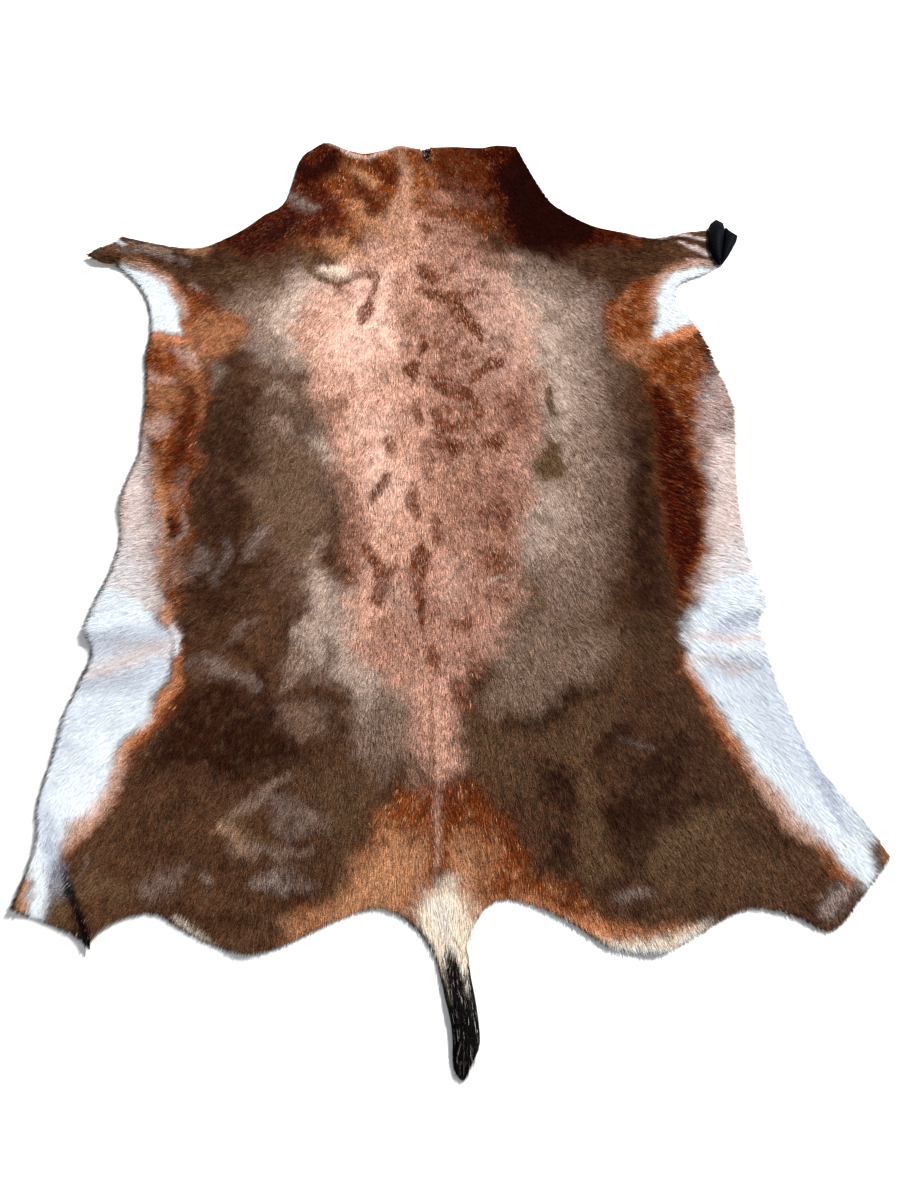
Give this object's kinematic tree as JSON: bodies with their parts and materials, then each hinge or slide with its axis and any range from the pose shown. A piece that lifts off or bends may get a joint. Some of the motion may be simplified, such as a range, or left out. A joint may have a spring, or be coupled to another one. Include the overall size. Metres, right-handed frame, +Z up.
{
  "type": "blesbok hide",
  "caption": "Whole blesbok hide with its short coat, lying flat hair side up, with neck, four leg ends, a tail brush and claws at one foreleg.",
  "frame": {"origin": "on the floor, under the middle of the box of the hide with its tail", "axes": "+Y along the back to the neck, +X to the foreleg with the claws, +Z up, out of the coat"},
  "size_m": [1.0084, 1.2734, 0.0159],
  "materials": {
    "coat": "short lying hair, brown back, rust flanks and white belly",
    "skin": "pale suede flesh side and cut edge",
    "tail_hair": "long black hair with a silver gloss",
    "horn": "smooth black horn"
  },
  "bodies": {
    "root": {"hide": "coat", "tail_brush": "tail_hair", "claw_inner": "horn", "claw_outer": "horn"}
  },
  "joints": []
}
